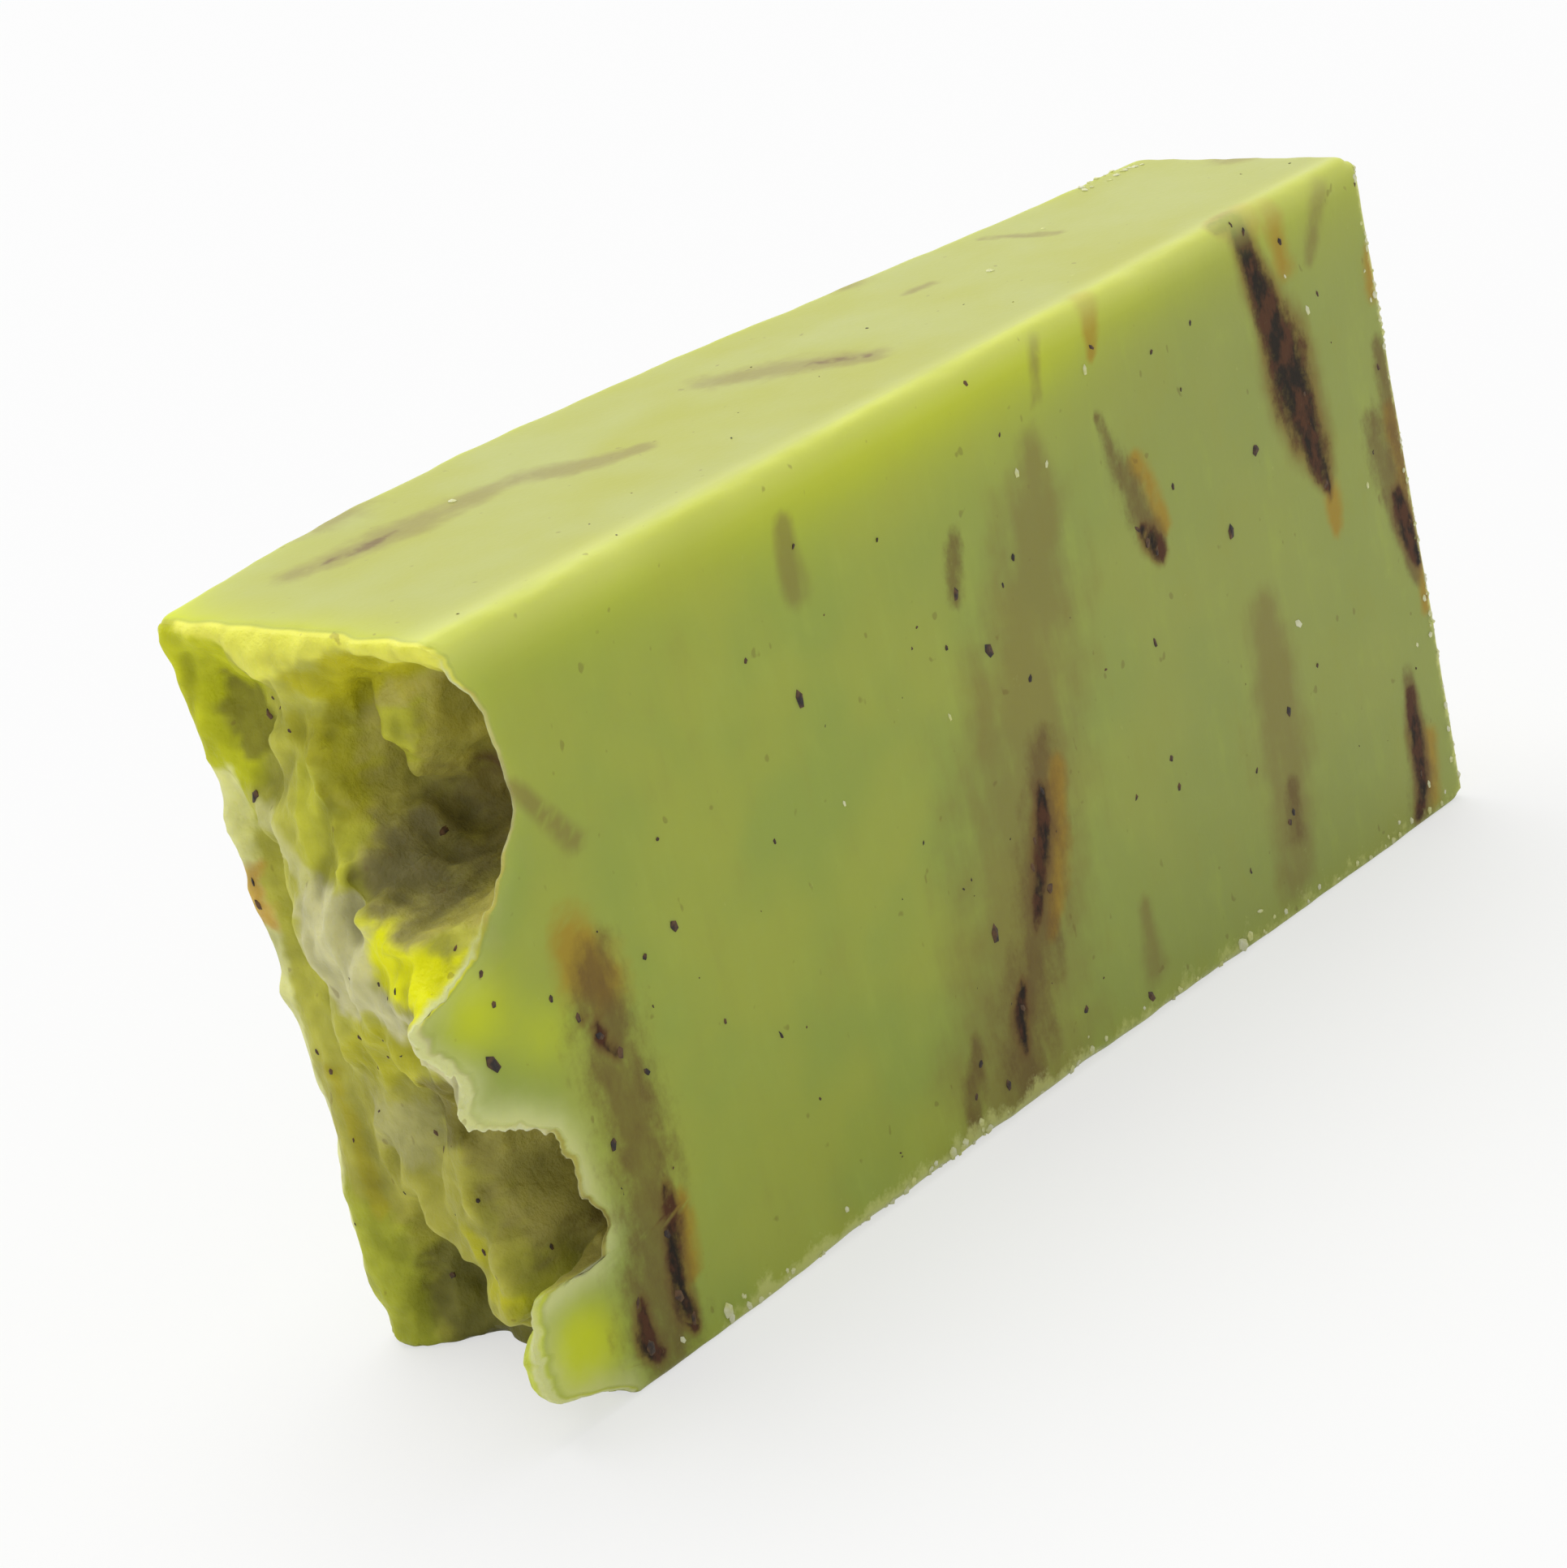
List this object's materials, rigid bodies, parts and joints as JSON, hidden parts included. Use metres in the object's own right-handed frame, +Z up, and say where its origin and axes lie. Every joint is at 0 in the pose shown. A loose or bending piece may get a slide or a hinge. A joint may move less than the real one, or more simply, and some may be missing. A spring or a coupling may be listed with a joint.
{
  "type": "bar of soap",
  "caption": "Cut bar of handmade soap for washing, with smooth cut and moulded faces and one rough, pitted crust end; it rests on its narrow side.",
  "frame": {"origin": "middle of the nominal slice on the standing face, halfway between the crust line and the mould-base face", "axes": "+X along the bar from the rough crust end to the mould-base face, +Y from the front cut face to the back cut face, +Z up from the standing face"},
  "size_m": [0.0994, 0.0272, 0.05],
  "materials": {
    "soap": "waxy green soap with brown herb streaks and specks, paler and yellower at edges and crust"
  },
  "bodies": {
    "root": {"soap_bar": "soap"}
  },
  "joints": []
}
